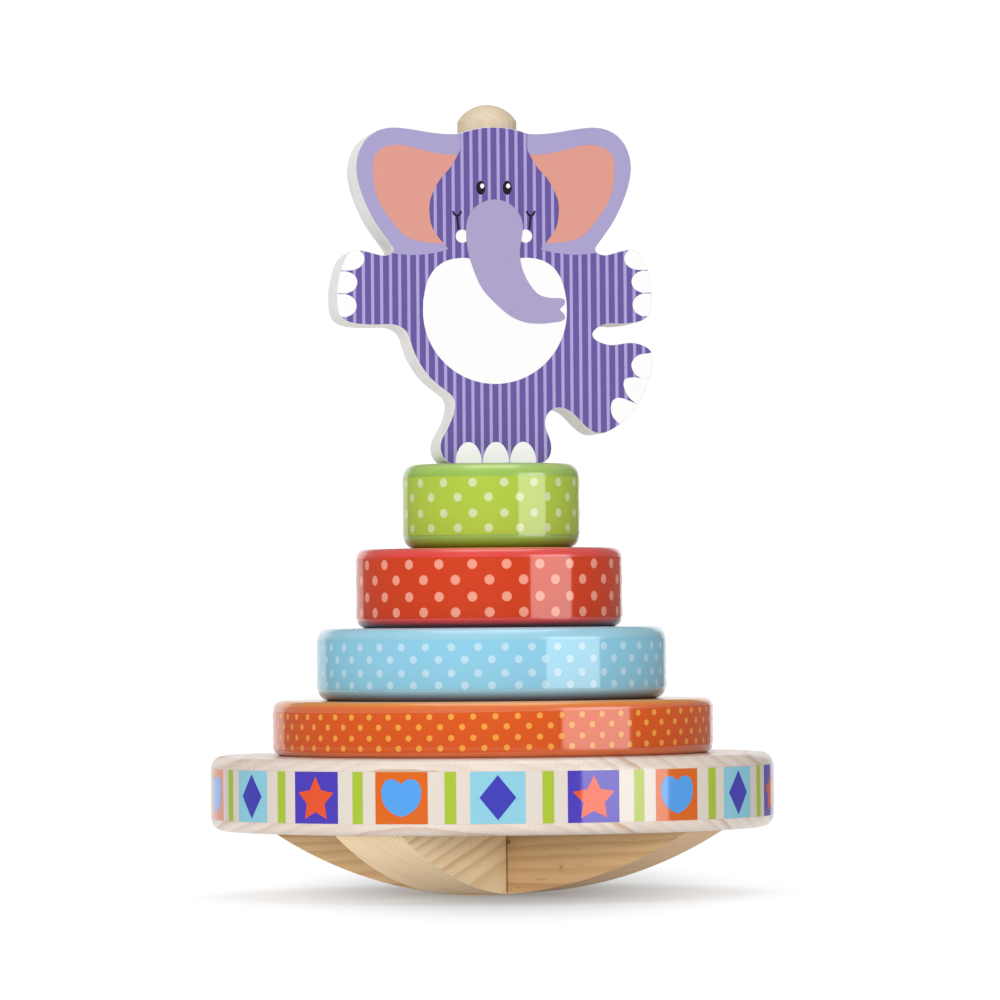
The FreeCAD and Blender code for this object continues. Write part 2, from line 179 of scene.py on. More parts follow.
class Recipe:
    """A material in the making: its nodes, and one principled shader."""

    def __init__(self, name: str) -> None:
        """Start an empty material.

        Args:
            name: the material's name.
        """
        self.material = bpy.data.materials.new(name)
        self.material.use_nodes = True
        self.tree = self.material.node_tree
        self.tree.nodes.clear()
        self.shader = self.tree.nodes.new("ShaderNodeBsdfPrincipled")
        output = self.tree.nodes.new("ShaderNodeOutputMaterial")
        self.tree.links.new(self.shader.outputs[0], output.inputs[0])

    def node(
        self,
        kind: str,
        settings: Optional[Dict[str, object]] = None,
        inputs: Optional[Dict[Union[int, str], object]] = None,
        output: Union[int, str] = 0,
    ) -> Wire:
        """Add one node.

        Args:
            kind: the node's type name.
            settings: its own properties, set before its sockets.
            inputs: a value or a wire for each socket, by name or number.
            output: the socket to hand back.

        Returns:
            The chosen output.
        """
        made = self.tree.nodes.new(kind)
        for key, value in (settings or {}).items():
            setattr(made, key, value)
        for key, value in (inputs or {}).items():
            self.feed(made.inputs[key], value)
        return Wire(self, made.outputs[output])

    def feed(self, socket: bpy.types.NodeSocket, value: object) -> None:
        """Link a wire to a socket, or set the socket's value.

        Args:
            socket: the socket to feed.
            value: a wire, or what the socket holds.
        """
        if isinstance(value, Wire):
            self.tree.links.new(value.socket, socket)
        else:
            socket.default_value = value

    def maths(self, operation: str, *values: Number) -> Wire:
        """One Math node on these values."""
        return self.node("ShaderNodeMath", {"operation": operation}, dict(enumerate(values)))

    def place(self, turn: Triple = ZERO, origin: Triple = ZERO) -> Wire:
        """Object coordinates in millimetres, seen from a turned frame with its own origin.

        Args:
            turn: the frame's X, Y and Z angles in degrees.
            origin: the frame's origin in millimetres.

        Returns:
            The point in that frame.
        """
        return self.node(
            "ShaderNodeMapping",
            {"vector_type": "TEXTURE"},
            {
                "Vector": self.node("ShaderNodeTexCoord", output="Object"),
                "Location": [value * MM for value in origin],
                "Rotation": [math.radians(value) for value in turn],
                "Scale": (MM, MM, MM),
            },
        )

    def split(self, vector: Wire) -> Tuple[Wire, Wire, Wire]:
        """Take a vector apart.

        Args:
            vector: the vector.

        Returns:
            Its X, Y and Z.
        """
        parts = self.tree.nodes.new("ShaderNodeSeparateXYZ")
        self.feed(parts.inputs[0], vector)
        return tuple(Wire(self, socket) for socket in parts.outputs)

    def stretch(self, vector: Wire, scale: Triple) -> Wire:
        """A vector multiplied part by part."""
        return self.node("ShaderNodeVectorMath", {"operation": "MULTIPLY"}, {0: vector, 1: scale})

    def distance(self, vector: Wire, other: Triple = ZERO) -> Wire:
        """The distance between two points."""
        inputs = {0: vector, 1: other}
        return self.node("ShaderNodeVectorMath", {"operation": "DISTANCE"}, inputs, "Value")

    def noise(self, vector: Wire, size: float, detail: float = 2, rough: float = 0.5) -> Wire:
        """Smooth noise round 0.5.

        Args:
            vector: the point, in millimetres.
            size: the noise's grain size in millimetres.
            detail: how many finer layers are added.
            rough: how strong the finer layers are.

        Returns:
            A value from 0 to 1.
        """
        inputs = {"Vector": vector, "Scale": 1 / size, "Detail": detail, "Roughness": rough}
        return self.node("ShaderNodeTexNoise", None, inputs)

    def between(self, value: Wire, low: float, high: float) -> Wire:
        """0 below low, 1 above high, and smooth in between. Low may be the larger number."""
        return self.node(
            "ShaderNodeMapRange",
            {"interpolation_type": "SMOOTHSTEP"},
            {"Value": value, "From Min": low, "From Max": high},
        )

    def mix(self, share: Number, first: Union[Rgba, Wire], second: Union[Rgba, Wire]) -> Wire:
        """The first colour turning to the second as share goes from 0 to 1."""
        inputs = {0: share, 6: first, 7: second}
        return self.node("ShaderNodeMix", {"data_type": "RGBA"}, inputs, output=2)

    def bump(self, height: Wire, depth: float) -> Wire:
        """A normal from a height of 0 to 1, which stands for this depth in millimetres."""
        inputs = {"Height": height, "Strength": 1.0, "Distance": depth * MM}
        return self.node("ShaderNodeBump", None, inputs)

    def done(self, **sockets: object) -> bpy.types.Material:
        """Set the shader's sockets and hand the material over.

        Args:
            sockets: a value or a wire for each socket, with its name's spaces as underscores.

        Returns:
            The finished material.
        """
        for name, value in sockets.items():
            self.feed(self.shader.inputs[name.replace("_", " ")], value)
        return self.material


@dataclass(frozen=True)
class Palette:
    """The colours that the toy shows under the studio light."""

    # The crown colours are painted highlights on the rings' tops.
    # The foot colours are painted shade on the rings' bottoms; the orange one is painted light that
    # makes up for that shade.
    film_green: Rgb = (176, 202, 67)
    spot_green: Rgb = (211, 225, 168)
    body_green: Rgb = (150, 190, 78)
    crown_highlight_green: Rgb = (184, 216, 112)
    foot_shading_green: Rgb = (125, 152, 26)
    film_red: Rgb = (208, 62, 23)
    spot_red: Rgb = (241, 157, 134)
    body_red: Rgb = (224, 58, 52)
    crown_highlight_red: Rgb = (228, 84, 74)
    foot_shading_red: Rgb = (72, 26, 38)
    film_blue: Rgb = (140, 204, 230)
    spot_blue: Rgb = (186, 223, 240)
    body_blue: Rgb = (148, 204, 224)
    crown_highlight_blue: Rgb = (162, 212, 232)
    foot_shading_blue: Rgb = (100, 111, 128)
    film_orange: Rgb = (218, 88, 25)
    spot_orange: Rgb = (242, 164, 66)
    body_orange: Rgb = (222, 104, 48)
    crown_highlight_orange: Rgb = (226, 146, 46)
    foot_shading_orange: Rgb = (238, 123, 66)
    seam_orange: Rgb = (206, 82, 36)
    disc_film: Rgb = (224, 213, 202)
    disc_pale: Rgb = (233, 220, 210)
    disc_dark: Rgb = (190, 146, 104)
    diamond_square: Rgb = (141, 203, 222)
    diamond: Rgb = (63, 61, 178)
    star_square: Rgb = (74, 59, 181)
    star: Rgb = (228, 84, 42)
    heart_square: Rgb = (218, 101, 24)
    heart: Rgb = (83, 158, 232)
    bar: Rgb = (168, 193, 55)
    long_pale: Rgb = (202, 169, 123)
    long_dark: Rgb = (166, 121, 74)
    cross_pale: Rgb = (244, 222, 182)
    cross_dark: Rgb = (206, 164, 112)
    glue: Rgb = (104, 62, 34)
    post_pale: Rgb = (224, 207, 181)
    post_dark: Rgb = (206, 172, 128)
    purple: Rgb = (103, 86, 156)
    stripe: Rgb = (172, 159, 211)
    ear: Rgb = (167, 159, 201)
    inner_ear: Rgb = (219, 153, 139)
    trunk: Rgb = (169, 158, 198)
    white: Rgb = (246, 246, 246)
    black: Rgb = (24, 20, 26)
    cheek: Rgb = (40, 26, 52)
    block: Rgb = (242, 240, 236)


PALETTE = Palette()


# ---- finishes


@dataclass(frozen=True)
class Knot:
    """A small dark knot in a board.

    Attributes:
        place: its middle, in millimetres.
        size: its radius.
        halo: radius of the darker wood round it, as a multiple of its own.
    """

    place: Triple
    size: float
    halo: float = 5.0


@dataclass(frozen=True)
class Wood:
    """Softwood with growth rings round a pith line.

    Attributes:
        pale: colour of early wood.
        dark: colour of late wood.
        pith: a point on the pith line, in millimetres.
        turn: angles that take X to the pith's direction, in degrees.
        spacing: distance between growth rings.
        line: how strongly the late wood shows.
        gloss: roughness of the surface.
        coat: strength of clear lacquer.
        lit: brightness of the light that reaches it; a smaller value makes the colour lighter,
            which on the rocker boards is painted light that makes up for the shade under the disc.
        even: how evenly the rings show from year to year, from 0 to 1.
        sway: how far the rings stray over a hand's width, in years.
        wobble: how far they stray over a few millimetres, in years.
        knots: the knots that show.
    """

    pale: Rgb
    dark: Rgb
    pith: Triple
    turn: Triple
    spacing: float = 3.0
    line: float = 0.6
    gloss: float = 0.5
    coat: float = 0.0
    lit: float = STUDIO_GAIN
    even: float = 0.45
    sway: float = 3.2
    wobble: float = 0.5
    knots: Tuple[Knot, ...] = ()

    def streaks(
        self, recipe: Recipe, point: Wire, share: float, size: float, detail: float = 2,
        rough: float = 0.5,
    ) -> Wire:
        """Noise that is drawn out along the grain.

        Args:
            recipe: the material in the making.
            point: the point in the pith's frame.
            share: the streaks' width as a share of their length.
            size: their width in millimetres.
            detail: how many finer layers are added.
            rough: how strong the finer layers are.

        Returns:
            A value from 0 to 1.
        """
        return recipe.noise(recipe.stretch(point, (share, 1, 1)), size, detail, rough)

    def late_wood(self, recipe: Recipe, point: Wire) -> Wire:
        """Where the dark, late wood of each year shows, and how strongly.

        Args:
            recipe: the material in the making.
            point: the point in the pith's frame.

        Returns:
            A value from 0 to 1.
        """
        sway = self.streaks(recipe, point, share=0.35, size=34, detail=1) - 0.5
        wobble = self.streaks(recipe, point, share=0.12, size=7) - 0.5
        _, across, height = recipe.split(point)
        radius = (across * across + height * height) ** 0.5
        years = radius / self.spacing + sway * self.sway + wobble * self.wobble
        season = years.math("FRACT")
        late = recipe.between(season, 0.25, 0.86) * (1 - recipe.between(season, 0.9, 1.0))
        chance = recipe.node(
            "ShaderNodeTexWhiteNoise", {"noise_dimensions": "1D"}, {"W": years.math("FLOOR")},
            output="Value",
        )
        return late * (self.even + (1 - self.even) * chance**2) * self.line

    def material(self, name: str) -> bpy.types.Material:
        """Build the wood as a material.

        Args:
            name: the material's name.

        Returns:
            The material.
        """
        recipe = Recipe(name)
        point = recipe.place(self.turn, self.pith)
        late = self.late_wood(recipe, point)
        fibre = self.streaks(recipe, point, share=0.05, size=0.55, detail=3, rough=0.6)
        tone = self.streaks(recipe, point, share=0.2, size=22)
        pores = self.streaks(recipe, point, share=0.1, size=0.8, detail=1)
        dark = linear(self.dark, self.lit)
        deep = toned(dark, 0.45)
        colour = recipe.mix(late, linear(self.pale, self.lit), dark)
        colour = recipe.mix((fibre - 0.5) * 0.5 + 0.06, colour, dark)
        colour = recipe.mix((tone - 0.42) * 0.55 * self.line, colour, dark)
        colour = recipe.mix(recipe.between(pores, 0.7, 0.76) * 0.3, colour, deep)
        here = recipe.place()
        for knot in self.knots:
            gap = recipe.distance(here, knot.place)
            core = 1 - recipe.between(gap, knot.size * 0.6, knot.size)
            halo = 1 - recipe.between(gap, knot.size, knot.size * knot.halo)
            colour = recipe.mix(halo * 0.3, recipe.mix(core, colour, deep), dark)
        return recipe.done(
            Base_Color=colour,
            Roughness=self.gloss + (fibre - 0.5) * 0.25,
            Normal=recipe.bump(fibre * 0.6 + late * 0.4, 0.05),
            Coat_Weight=self.coat,
            Coat_Roughness=0.16,
        )


@dataclass(frozen=True)
class Paint:
    """Paint on turned wood, with light and shade painted into its colour near the top and bottom of
    the piece.

    Attributes:
        body: colour of the wall.
        crown: colour of the top and its rounding, lighter than the wall: a painted highlight.
        foot: colour of the bottom and its rounding: painted shade under the piece; the orange
            ring's lighter foot colour is painted light that makes up for that shade.
        reach: how far the crown and foot colours, which are painted light and shade, reach, in
            millimetres.
        gloss: roughness of the paint.
        speck: strength of the dust and brush specks.
        coat: strength of the clear gloss over it.
    """

    body: Rgb
    crown: Rgb
    foot: Rgb
    reach: float = 3.0
    gloss: float = 0.34
    speck: float = 0.3
    coat: float = 0.8

    def material(self, name: str, bottom: float, top: float) -> bpy.types.Material:
        """Build the paint as a material.

        Args:
            name: the material's name.
            bottom: level of the piece's bottom, in millimetres.
            top: level of its top.

        Returns:
            The material.
        """
        recipe = Recipe(name)
        point = recipe.place()
        _, _, height = recipe.split(point)
        cloud = recipe.noise(point, 9, 3)
        grain = recipe.noise(recipe.stretch(point, (1, 0.12, 1)), 1.1, 3, 0.6)
        dust = recipe.noise(point, 0.55, 1)
        body, crown = linear(self.body), linear(self.crown)
        shade, pale = toned(body, 0.62), toned(crown, 0.45, lift=0.55)
        # Painted highlight: the wall turns to the lighter crown colour near the top.
        colour = recipe.mix(recipe.between(height, top - self.reach, top), body, crown)
        # Painted shade: the wall turns to the foot colour near the bottom; the orange ring's
        # lighter foot colour is painted light instead.
        low = recipe.between(height, bottom + self.reach, bottom + 0.4)
        colour = recipe.mix(low, colour, linear(self.foot))
        colour = recipe.mix((cloud - 0.45) * 0.35, colour, shade)
        colour = recipe.mix(recipe.between(dust, 0.68, 0.74) * (0.35 * self.speck), colour, pale)
        colour = recipe.mix(recipe.between(dust, 0.31, 0.25) * (0.5 * self.speck), colour, shade)
        return recipe.done(
            Base_Color=colour,
            Roughness=self.gloss + (cloud - 0.5) * 0.2,
            Normal=recipe.bump(grain * 0.7 + dust * 0.3, 0.035 + 0.03 * self.speck),
            Coat_Weight=self.coat,
            Coat_Roughness=0.12,
        )


@dataclass(frozen=True)
class Film:
    """Glossy printed film.

    Attributes:
        ink: colour of the print.
        gloss: roughness.
        drift: how much the ink's strength drifts.
    """

    ink: Rgb
    gloss: float = 0.07
    drift: float = 0.12

    def material(self, name: str) -> bpy.types.Material:
        """Build the film as a material.

        Args:
            name: the material's name.

        Returns:
            The material.
        """
        recipe = Recipe(name)
        point = recipe.place()
        cloud = recipe.noise(point, 14)
        screen = recipe.noise(point, 0.45, 1)
        strength = (cloud * 0.6 + screen * 0.4 - 0.35) * (2 * self.drift)
        ink = linear(self.ink)
        return recipe.done(
            Base_Color=recipe.mix(strength, ink, toned(ink, 0.78)),
            Roughness=self.gloss + (cloud - 0.5) * 0.06,
            Normal=recipe.bump(recipe.noise(point, 5, 1), 0.012),
        )


# ---- flat artwork

# The right half of a heart of width 1 and height 1, from its notch to its point.
HEART_SIDE = [
    (0, 0.36), (0.07, 0.44), (0.17, 0.49), (0.3, 0.5), (0.42, 0.42), (0.49, 0.26), (0.5, 0.1),
    (0.47, -0.08), (0.4, -0.23), (0.27, -0.37), (0.1, -0.47), (0, -0.5),
]


def rectangle(left: float, low: float, right: float, high: float) -> Outline:
    """A rectangle's corners, anticlockwise."""
    return [(left, low), (right, low), (right, high), (left, high)]


def ellipse(x: float, y: float, wide: float, high: float, count: int = 32) -> Outline:
    """An ellipse round (x, y) with these half sizes."""
    turns = [2 * math.pi * i / count for i in range(count)]
    return [(x + wide * math.cos(turn), y + high * math.sin(turn)) for turn in turns]


def arc(x: float, y: float, radius: float, start: float, end: float, count: int = 16) -> Outline:
    """Points on a circle from one angle to another, in degrees."""
    turns = [math.radians(start + (end - start) * i / count) for i in range(count + 1)]
    return [(x + radius * math.cos(turn), y + radius * math.sin(turn)) for turn in turns]


def smooth(points: Sequence[Point], steps: int = 5) -> Outline:
    """A smooth curve through points.

    Args:
        points: the places it passes, in order.
        steps: how many pieces each gap is cut into.

    Returns:
        The points on the curve.
    """
    count = len(points)
    result: Outline = []
    for i in range(count - 1):
        near = [points[min(max(i + k, 0), count - 1)] for k in (-1, 0, 1, 2)]
        for step in range(steps):
            t = step / steps
            result.append(tuple(
                0.5 * (2 * b + (c - a) * t + (2 * a - 5 * b + 4 * c - d) * t**2
                       + (3 * b - a - 3 * c + d) * t**3)
                for a, b, c, d in zip(*near)
            ))
    return result + [points[-1]]


def stroke(points: Sequence[Point], width: float) -> Outline:
    """Draw a line with a width.

    Args:
        points: the open line's points.
        width: the width.

    Returns:
        The outline of the band.
    """
    left: Outline = []
    right: Outline = []
    for i, (x, y) in enumerate(points):
        ahead = Vector(points[min(i + 1, len(points) - 1)]) - Vector(points[max(i - 1, 0)])
        ahead.normalize()
        left.append((x - ahead.y * width / 2, y + ahead.x * width / 2))
        right.append((x + ahead.y * width / 2, y - ahead.x * width / 2))
    return left + right[::-1]


def flipped(points: Sequence[Point]) -> Outline:
    """The shape's mirror image, left to right."""
    return [(-x, y) for x, y in points]


def star(radius: float, inner: float) -> Outline:
    """A five-pointed star, point up, with its box centred on (0, 0).

    Args:
        radius: from its middle to a point.
        inner: from its middle to a notch.

    Returns:
        The star's corners.
    """
    step = math.pi / 5
    drop = radius * (1 - math.cos(step)) / 2
    points = []
    for i in range(10):
        reach = inner if i % 2 else radius
        turn = math.pi / 2 + step * i
        points.append((reach * math.cos(turn), reach * math.sin(turn) - drop))
    return points


def heart(wide: float, high: float) -> Outline:
    """A heart, centred on (0, 0).

    Args:
        wide: its width.
        high: its height.

    Returns:
        The heart's outline.
    """
    side = smooth(HEART_SIDE, 4)
    whole = side + flipped(side)[-2:0:-1]
    return [(x * wide, y * high) for x, y in whole]


# ---- meshes


def add_plate(mesh: bmesh.types.BMesh, outline: Sequence[Point], low: float, high: float) -> None:
    """Add a flat plate to a mesh.

    Args:
        mesh: the mesh, in millimetres: X to the right, Y out of the print, Z up.
        outline: the plate's corners in X and Z.
        low: the Y of its hidden side.
        high: the Y of its shown side.
    """
    corners = [mesh.verts.new((x, low, z)) for x, z in outline]
    count = len(corners)
    rim = [mesh.edges.new((corners[i], corners[(i + 1) % count])) for i in range(count)]
    filled = bmesh.ops.triangle_fill(mesh, use_beauty=True, edges=rim)["geom"]
    faces = [item for item in filled if isinstance(item, bmesh.types.BMFace)]
    raised = bmesh.ops.extrude_face_region(mesh, geom=faces, use_keep_orig=True)["geom"]
    moved = [item for item in raised if isinstance(item, bmesh.types.BMVert)]
    bmesh.ops.translate(mesh, verts=moved, vec=(0, high - low, 0))


def cut_upright(mesh: bmesh.types.BMesh, left: float, right: float, step: float) -> None:
    """Cut a flat mesh into upright strips, so that it can bend.

    Args:
        mesh: the mesh.
        left: its lowest X.
        right: its highest X.
        step: the most that a strip may be wide.
    """
    count = max(1, math.ceil((right - left) / step))
    for i in range(1, count):
        everything = mesh.verts[:] + mesh.edges[:] + mesh.faces[:]
        x = left + (right - left) * i / count
        bmesh.ops.bisect_plane(mesh, geom=everything, plane_co=(x, 0, 0), plane_no=(1, 0, 0))


def merge_into(whole: bmesh.types.BMesh, part: bmesh.types.BMesh) -> None:
    """Add one mesh to another.

    Args:
        whole: the mesh that grows.
        part: the mesh that is added, and freed.
    """
    data = bpy.data.meshes.new("part")
    part.to_mesh(data)
    part.free()
    whole.from_mesh(data)
    bpy.data.meshes.remove(data)


def finish_piece(
    name: str,
    mesh: bmesh.types.BMesh,
    material: bpy.types.Material,
    body: Body,
    place: Matrix = Matrix.Identity(4),
    rounded: bool = True,
) -> bpy.types.Object:
    """Turn a mesh in millimetres into a piece of the toy.

    Args:
        name: the piece's name.
        mesh: the mesh, which is freed.
        material: its finish.
        body: the body it rides on.
        place: where the mesh goes, in millimetres.
        rounded: whether faces that meet at a slight angle are shaded as one surface.

    Returns:
        The piece.
    """
    bmesh.ops.transform(mesh, matrix=Matrix.Scale(MM, 4) @ place, verts=mesh.verts[:])
    bmesh.ops.recalc_face_normals(mesh, faces=mesh.faces[:])
    for face in mesh.faces:
        face.smooth = rounded
    data = bpy.data.meshes.new(name)
    mesh.to_mesh(data)
    mesh.free()
    if rounded:
        data.set_sharp_from_angle(angle=CREASE)
    data.materials.append(material)
    piece = bpy.data.objects.new(name, data)
    bpy.context.scene.collection.objects.link(piece)
    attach(piece, body.value)
    LOG.info("%s: %d faces on %s", name, len(data.polygons), body.value)
    return piece


def dress_node(name: str, material: bpy.types.Material) -> None:
    """Give a CAD node its finish."""
    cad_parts[name].material_slots[0].material = material
    LOG.info("%s dressed in %s", name, material.name)


def copy_of_node(name: str) -> bmesh.types.BMesh:
    """Copy a CAD node and merge its loose triangles.

    Args:
        name: the node's name.

    Returns:
        The copy, in millimetres.
    """
    mesh = bmesh.new()
    mesh.from_mesh(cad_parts[name].data)
    bmesh.ops.transform(mesh, matrix=Matrix.Scale(1 / MM, 4), verts=mesh.verts[:])
    bmesh.ops.remove_doubles(mesh, verts=mesh.verts[:], dist=0.001)
    return mesh


def scratch_object(name: str, mesh: bmesh.types.BMesh) -> bpy.types.Object:
    """Make an object that is only used while the pieces are made.

    Args:
        name: its name.
        mesh: its mesh, which is freed.

    Returns:
        The object.
    """
    bmesh.ops.recalc_face_normals(mesh, faces=mesh.faces[:])
    data = bpy.data.meshes.new(name)
    mesh.to_mesh(data)
    mesh.free()
    made = bpy.data.objects.new(name, data)
    bpy.context.scene.collection.objects.link(made)
    return made


def discard(scratch: bpy.types.Object) -> None:
    """Remove a scratch object and its mesh.

    Args:
        scratch: the object.
    """
    data = scratch.data
    bpy.data.objects.remove(scratch)
    bpy.data.meshes.remove(data)


def trimmed(mesh: bmesh.types.BMesh, keep: bpy.types.Object) -> bmesh.types.BMesh:
    """The part of a mesh that lies inside another object.

    Args:
        mesh: the mesh to trim, which is freed.
        keep: a closed object.

    Returns:
        The trimmed mesh.
    """
    offcut = scratch_object("offcut", mesh)
    trim = offcut.modifiers.new("trim", "BOOLEAN")
    trim.operation = "INTERSECT"
    trim.solver = "EXACT"
    trim.object = keep
    bpy.context.view_layer.update()
    result = bmesh.new()
    result.from_object(offcut, bpy.context.evaluated_depsgraph_get())
    discard(offcut)
    return result


# ---- the toy's sub-assemblies


@dataclass
class Round:
    """What the disc and the rings share: a wall with a film round it.

    Attributes:
        body: the body it rides on.
        node: the CAD node's name.
        colour: the word that starts its pieces' names.
        edge: rounding of the wall's ends.
        radius: the film's radius.
        middle: X of its axis.
        centre: level of the film's middle.
        low: level of the piece's bottom.
        high: level of its top.
    """

    body: Body
    node: str
    colour: str
    edge: float
    radius: float = field(init=False)
    middle: float = field(init=False)
    centre: float = field(init=False)
    low: float = field(init=False)
    high: float = field(init=False)

    def __post_init__(self) -> None:
        """Read the wall's place from the CAD nodes."""
        low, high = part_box(f"{self.colour}_band")
        self.radius = (high.x - low.x) / 2 / MM
        self.middle = (high.x + low.x) / 2 / MM
        self.centre = (high.z + low.z) / 2 / MM
        below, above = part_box(self.node)
        self.low = below.z / MM
        self.high = above.z / MM

    def wall_radius(self, level: float) -> float:
        """The film's radius at a level, drawn in where the wall's ends are rounded."""
        beyond = max(self.low + self.edge - level, level - self.high + self.edge, 0)
        return self.radius - self.edge + math.sqrt(max(self.edge**2 - beyond**2, 0))

    def wrap(self, mesh: bmesh.types.BMesh, turn: float = 0) -> None:
        """Bend a flat print round the wall.

        Args:
            mesh: the flat print: X along the wall, Y out of it, Z the level.
            turn: where X = 0 lands, in degrees.
        """
        for vertex in mesh.verts:
            x, y, z = vertex.co
            angle = math.radians(turn) + x / self.radius
            reach = self.wall_radius(z) + y
            vertex.co = (self.middle + reach * math.sin(angle), -reach * math.cos(angle), z)


@dataclass
class Ring(Round):
    """A painted ring with a spotted film.

    Attributes:
        paint: the ring's paint.
        film: the film's ground.
        spot: the film's spots.
        pitch: angle between spots.
        count: spots in a row.
        start: angle of one spot in the first row.
        rows: levels of the rows of spots, from the film's middle.
        spot_size: diameter of a spot.
        spot_sides: how many sides a spot is drawn with.
        lean: slope of the film to the right and to the back.
    """

    paint: Paint
    film: Film
    spot: Film
    pitch: float
    count: int
    start: float
    rows: Tuple[float, ...]
    spot_size: float
    spot_sides: int = 14
    lean: Tuple[float, float] = (0.0, 0.0)

    def tilt(self, mesh: bmesh.types.BMesh) -> None:
        """Set a film that was stuck on at a slant to its slope, following the wall.

        Args:
            mesh: the film or its print, bent round the wall.
        """
        for vertex in mesh.verts:
            x, y, z = vertex.co
            across = x - self.middle
            level = z + self.lean[0] * across + self.lean[1] * y
            reach = math.hypot(across, y)
            grip = (reach + self.wall_radius(level) - self.wall_radius(z)) / reach
            vertex.co = (self.middle + across * grip, y * grip, level)

    def build_spots(self) -> None:
        """Print the rows of spots, every other row half a pitch along."""
        mesh = bmesh.new()
        upright = Matrix.Rotation(math.pi / 2, 4, "X")
        for row, offset in enumerate(self.rows):
            first = self.start + (self.pitch / 2 if row % 2 else 0)
            for i in range(self.count):
                spot = bmesh.new()
                bmesh.ops.create_cone(
                    spot, cap_ends=True, cap_tris=True, segments=self.spot_sides,
                    radius1=self.spot_size / 2, radius2=self.spot_size / 2, depth=2 * INK,
                    matrix=Matrix.Translation((0, 0, self.centre + offset)) @ upright,
                )
                self.wrap(spot, first + (i - self.count // 2) * self.pitch)
                merge_into(mesh, spot)
        self.tilt(mesh)
        finish_piece(
            f"{self.colour}_spots", mesh, self.spot.material(f"{self.colour}_spot_ink"),
            self.body,
        )

    def dress(self) -> bpy.types.Material:
        """Paint the ring and print its film.

        Returns:
            The film's material.
        """
        paint = self.paint.material(f"{self.colour}_paint", self.low, self.high)
        film = self.film.material(f"{self.colour}_film")
        dress_node(self.node, paint)
        dress_node(f"{self.colour}_band", film)
        return film

    def build(self) -> None:
        """Make the ring's own pieces and dress its nodes."""
        self.dress()
        self.build_spots()


@dataclass
class SlantedRing(Ring):
    """A ring whose film went on at a slant, with the overlap of its ends showing.

    Attributes:
        thickness: thickness of the film.
        seam: angle of the overlap.
        seam_width: width of the overlap's edge.
        seam_ink: colour of the overlap's edge.
        strips: how many strips the film's height is cut into.
        steps: how many steps a turn round it takes.
    """

    thickness: float = 0.2
    seam: float = 17.1
    seam_width: float = 0.32
    seam_ink: Film = Film(PALETTE.seam_orange)
    strips: int = 12
    steps: int = 192

    def build_film(self, film: bpy.types.Material, tall: float) -> None:
        """Spin the film round the wall and set it at its slant.

        Args:
            film: the film's material.
            tall: the film's height.
        """
        mesh = bmesh.new()
        levels = [self.centre + tall * (i / self.strips - 0.5) for i in range(self.strips + 1)]
        outer = [(self.radius, level) for level in levels]
        inner = [(self.radius - self.thickness, level) for level in reversed(levels)]
        loop = [mesh.verts.new((self.middle + x, 0, z)) for x, z in outer + inner]
        for i, vertex in enumerate(loop):
            mesh.edges.new((vertex, loop[(i + 1) % len(loop)]))
        bmesh.ops.spin(
            mesh, geom=mesh.verts[:] + mesh.edges[:], cent=(self.middle, 0, 0), axis=(0, 0, 1),
            dvec=(0, 0, 0), angle=2 * math.pi, steps=self.steps, use_merge=True,
        )
        self.tilt(mesh)
        piece = finish_piece(
            f"{self.colour}_slanted_film", mesh, film, self.body
        )
        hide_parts(f"{self.colour}_band")

    def build_seam(self, tall: float) -> None:
        """Draw the edge where the film's ends overlap.

        Args:
            tall: the film's height.
        """
        mesh = bmesh.new()
        bottom, top = self.centre - tall / 2, self.centre + tall / 2
        edge = rectangle(-self.seam_width / 2, bottom, self.seam_width / 2, top)
        add_plate(mesh, edge, -INK, 1.5 * INK)
        self.wrap(mesh, self.seam)
        self.tilt(mesh)
        finish_piece(
            f"{self.colour}_film_seam", mesh, self.seam_ink.material(f"{self.colour}_seam_ink"),
            self.body,
        )

    def build(self) -> None:
        """Dress the ring and make the slanted film, its overlap and its spots."""
        film = self.dress()
        low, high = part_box(f"{self.colour}_band")
        tall = (high.z - low.z) / MM
        self.build_film(film, tall)
        self.build_seam(tall)
        self.build_spots()


